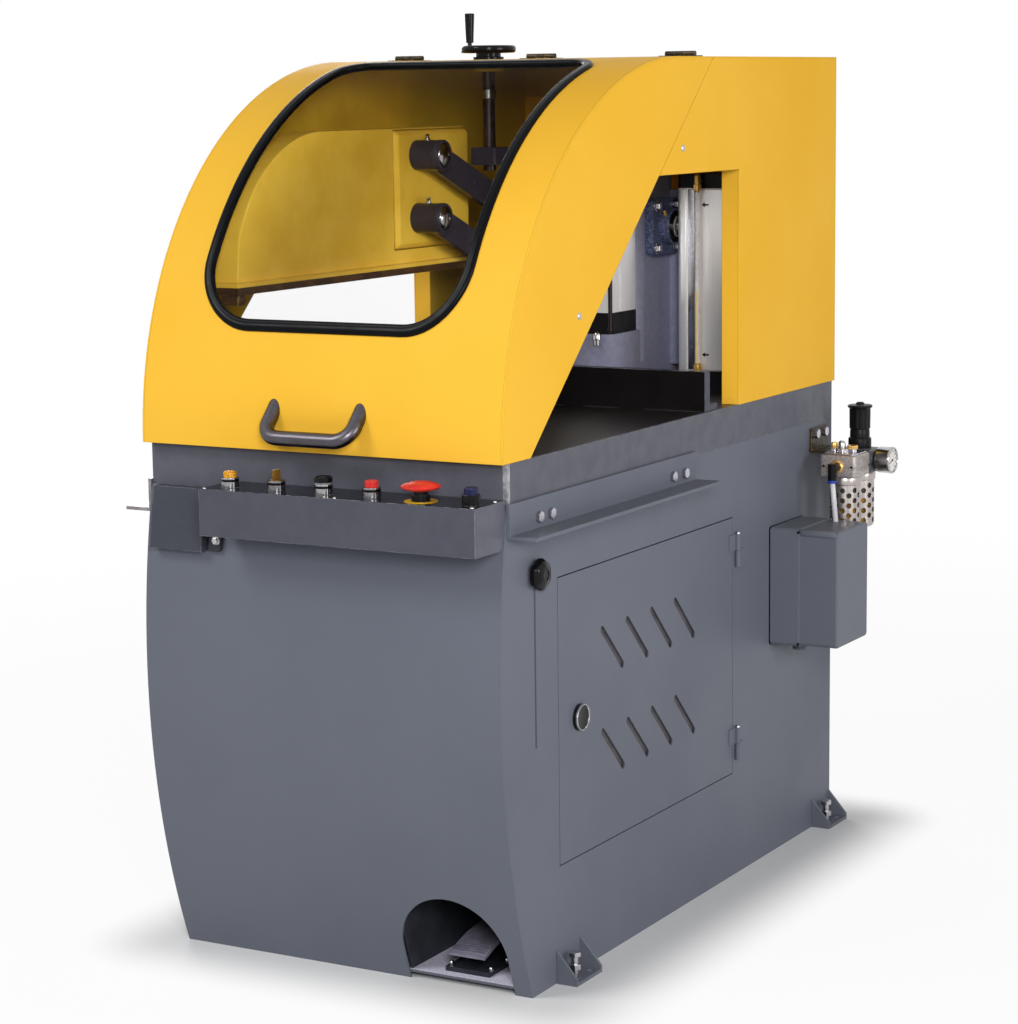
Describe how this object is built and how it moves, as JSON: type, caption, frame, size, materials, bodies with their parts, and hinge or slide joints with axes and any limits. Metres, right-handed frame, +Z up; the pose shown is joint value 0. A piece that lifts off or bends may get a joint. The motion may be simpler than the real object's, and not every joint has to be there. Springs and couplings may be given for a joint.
{
  "type": "upcut saw",
  "caption": "Upcut saw on a barrel-fronted cabinet: lifting curved hood with a window, conveyor rails, control box and an air unit.",
  "frame": {"origin": "on the floor, in the middle of the four floor anchor holes", "axes": "+Z up, +Y from the front to the back, +X to the machine's right as seen by the operator"},
  "size_m": [0.8895, 1.42, 1.611],
  "materials": {
    "hood_yellow": "gloss",
    "guard_yellow": "gloss",
    "cabinet_grey": "satin",
    "band_grey": "satin",
    "table_steel": "ground",
    "fence_black": "satin",
    "rail_grey": "satin",
    "zinc": "zinc plated",
    "floor_grey": "satin",
    "column_slate": "satin",
    "bearing_blue": "painted",
    "tank_aluminium": "anodised",
    "cap_black": "matt",
    "sight_tube": "clear with oil",
    "gasket_rubber": "satin",
    "window_pane": "smoked",
    "handle_grey": "satin",
    "arm_slate": "satin",
    "steel": "turned",
    "blade_steel": "ground",
    "wheel_black": "gloss",
    "nut_dark": "satin",
    "box_slate": "satin",
    "button_amber": "gloss",
    "button_black": "gloss",
    "button_red": "gloss",
    "button_blue": "gloss",
    "knob_black": "satin",
    "junction_grey": "satin",
    "bracket_zinc": "yellow passivated",
    "air_cast": "die cast",
    "bowl_steel": "pressed",
    "gauge_case": "polished",
    "tube_white": "gloss",
    "pedal_grey": "satin",
    "machine_grey": "satin",
    "motor_grey": "satin",
    "belt_rubber": "matt"
  },
  "bodies": {
    "machine_base": {"floor_plate": "floor_grey", "left_panel": "cabinet_grey", "right_panel": "cabinet_grey", "front_panel": "cabinet_grey", "back_panel": "cabinet_grey", "table_frame": "band_grey", "table_top": "table_steel", "fence": "fence_black", "conveyor_rails": "rail_grey", "hex_bolts": "zinc", "foot_brackets": "cabinet_grey", "column": "column_slate", "pivot_bearings": "bearing_blue", "oil_tanks": "tank_aluminium", "tank_caps": "cap_black", "sight_gauge": "sight_tube", "rear_hood_cover": "hood_yellow", "rear_hood_sides": "hood_yellow", "hinge_leaves": "steel", "control_box": "box_slate", "junction_box": "junction_grey", "air_bracket": "bracket_zinc", "air_bodies": "air_cast", "bowl_guards": "bowl_steel", "pressure_gauge": "gauge_case", "air_line": "tube_white", "foot_switch_base": "cap_black", "air_cylinders": "tank_aluminium"},
    "front_hood": {"front_hood_skin": "hood_yellow", "front_hood_sides": "hood_yellow", "window_glass": "window_pane", "window_gasket": "gasket_rubber", "hood_handle": "handle_grey", "hood_hinge_moving_leaves": "steel"},
    "upper_arm": {"upper_arm": "arm_slate", "pivot_shaft": "steel"},
    "lower_arm": {"lower_arm": "arm_slate"},
    "blade_guard": {"blade_guard": "guard_yellow"},
    "hold_down_rod": {"hold_down_rod": "steel"},
    "handwheel": {"handwheel": "wheel_black"},
    "handwheel_grip": {"handwheel_grip": "wheel_black"},
    "stop_nut": {"stop_nut": "nut_dark"},
    "side_door": {"side_door": "cabinet_grey"},
    "door_latch": {"door_latch": "knob_black"},
    "stroke_knob": {"stroke_knob": "knob_black"},
    "start_button": {"start_button": "button_amber"},
    "mode_selector": {"mode_selector": "button_amber"},
    "ready_button": {"ready_button": "button_black"},
    "stop_button": {"stop_button": "button_red"},
    "emergency_stop": {"emergency_stop": "button_red"},
    "reset_button": {"reset_button": "button_blue"},
    "foot_pedal": {"foot_pedal": "pedal_grey"},
    "regulator_knob": {"regulator_knob": "knob_black"},
    "saw_arm": {"saw_arm": "machine_grey", "motor": "motor_grey", "drive_belt": "belt_rubber"},
    "motor_shaft": {"motor_shaft": "steel"},
    "saw_blade": {"saw_blade": "blade_steel", "blade_spindle": "steel"},
    "saw_lift_rod": {"saw_lift_rod": "steel"}
  },
  "joints": [
    {"name": "hood_hinge", "type": "hinge", "parent": "machine_base", "child": "front_hood", "pos_m": [0, 0.0035, 1.5275], "axis": [-1, 0, 0], "range_deg": [0, 85]},
    {"name": "upper_arm_swing", "type": "hinge", "parent": "machine_base", "child": "upper_arm", "pos_m": [-0.186, 0.2885, 1.205], "axis": [1, 0, 0], "range_deg": [0, 32.7]},
    {"name": "lower_arm_swing", "type": "hinge", "parent": "machine_base", "child": "lower_arm", "pos_m": [-0.186, 0.2885, 1.089], "axis": [1, 0, 0], "range_deg": [0, 32.7]},
    {"name": "guard_level", "type": "hinge", "parent": "upper_arm", "child": "blade_guard", "pos_m": [-0.2, -0.0765, 1.35], "axis": [1, 0, 0], "range_deg": [-32.7, 0]},
    {"name": "hold_down_stroke", "type": "slide", "parent": "machine_base", "child": "hold_down_rod", "axis": [0, 0, 1], "range_m": [-0.0806, 0]},
    {"name": "handwheel_turn", "type": "hinge", "parent": "machine_base", "child": "handwheel", "pos_m": [-0.165, 0.0965, 1.5435], "axis": [0, 0, 1], "range_deg": [0, 1440]},
    {"name": "grip_spin", "type": "hinge", "parent": "handwheel", "child": "handwheel_grip", "pos_m": [-0.205, 0.0965, 1.57], "axis": [0, 0, 1], "continuous": true},
    {"name": "stop_nut_rise", "type": "slide", "parent": "machine_base", "child": "stop_nut", "axis": [0, 0, 1], "range_m": [0, 0.0401]},
    {"name": "door_hinge", "type": "hinge", "parent": "machine_base", "child": "side_door", "pos_m": [0.3495, 0.1025, 0.44], "axis": [0, 0, 1], "range_deg": [0, 110]},
    {"name": "latch_turn", "type": "hinge", "parent": "side_door", "child": "door_latch", "pos_m": [0.3445, -0.5215, 0.436], "axis": [1, 0, 0], "range_deg": [-90, 0]},
    {"name": "stroke_set", "type": "slide", "parent": "machine_base", "child": "stroke_knob", "axis": [0, 0, -1], "range_m": [0, 0.285]},
    {"name": "start_button_press", "type": "slide", "parent": "machine_base", "child": "start_button", "axis": [0, 0, -1], "range_m": [0, 0.004], "stiffness_N_per_m": 500, "springref_m": -0.002},
    {"name": "ready_button_press", "type": "slide", "parent": "machine_base", "child": "ready_button", "axis": [0, 0, -1], "range_m": [0, 0.004], "stiffness_N_per_m": 500, "springref_m": -0.002},
    {"name": "stop_button_press", "type": "slide", "parent": "machine_base", "child": "stop_button", "axis": [0, 0, -1], "range_m": [0, 0.004], "stiffness_N_per_m": 500, "springref_m": -0.002},
    {"name": "reset_button_press", "type": "slide", "parent": "machine_base", "child": "reset_button", "axis": [0, 0, -1], "range_m": [0, 0.004], "stiffness_N_per_m": 500, "springref_m": -0.002},
    {"name": "emergency_stop_push", "type": "slide", "parent": "machine_base", "child": "emergency_stop", "axis": [0, 0, -1], "range_m": [0, 0.005]},
    {"name": "mode_turn", "type": "hinge", "parent": "machine_base", "child": "mode_selector", "pos_m": [-0.048, -0.8185, 0.84], "axis": [0, 0, 1], "range_deg": [-45, 45]},
    {"name": "pedal_press", "type": "hinge", "parent": "machine_base", "child": "foot_pedal", "pos_m": [0.212, -0.5375, 0.066], "axis": [1, 0, 0], "range_deg": [0, 7], "stiffness_Nm_per_rad": 8, "springref_deg": -6.88},
    {"name": "regulator_turn", "type": "hinge", "parent": "machine_base", "child": "regulator_knob", "pos_m": [0.42, 0.5225, 0.8], "axis": [0, 0, 1], "range_deg": [0, 300]},
    {"name": "saw_raise", "type": "hinge", "parent": "machine_base", "child": "saw_arm", "pos_m": [-0.2, 0.1265, 0.722], "axis": [-1, 0, 0], "range_deg": [0, 22.6]},
    {"name": "blade_spin", "type": "hinge", "parent": "saw_arm", "child": "saw_blade", "pos_m": [-0.2545, -0.2935, 0.64], "axis": [1, 0, 0], "continuous": true},
    {"name": "motor_spin", "type": "hinge", "parent": "saw_arm", "child": "motor_shaft", "pos_m": [-0.141, 0.2665, 0.63], "axis": [1, 0, 0], "continuous": true},
    {"name": "saw_lift_stroke", "type": "slide", "parent": "machine_base", "child": "saw_lift_rod", "axis": [0, 0, 1], "range_m": [0, 0.1122]}
  ],
  "couplings": [
    {"joint": "lower_arm_swing", "follows": "upper_arm_swing", "ratio": 1},
    {"joint": "guard_level", "follows": "upper_arm_swing", "ratio": -1},
    {"joint": "hold_down_stroke", "follows": "upper_arm_swing", "m_per_rad": -0.14084},
    {"joint": "stop_nut_rise", "follows": "handwheel_turn", "m_per_rad": 0.0015915},
    {"joint": "motor_spin", "follows": "blade_spin", "ratio": 1},
    {"joint": "saw_lift_stroke", "follows": "saw_raise", "m_per_rad": 0.28344}
  ]
}
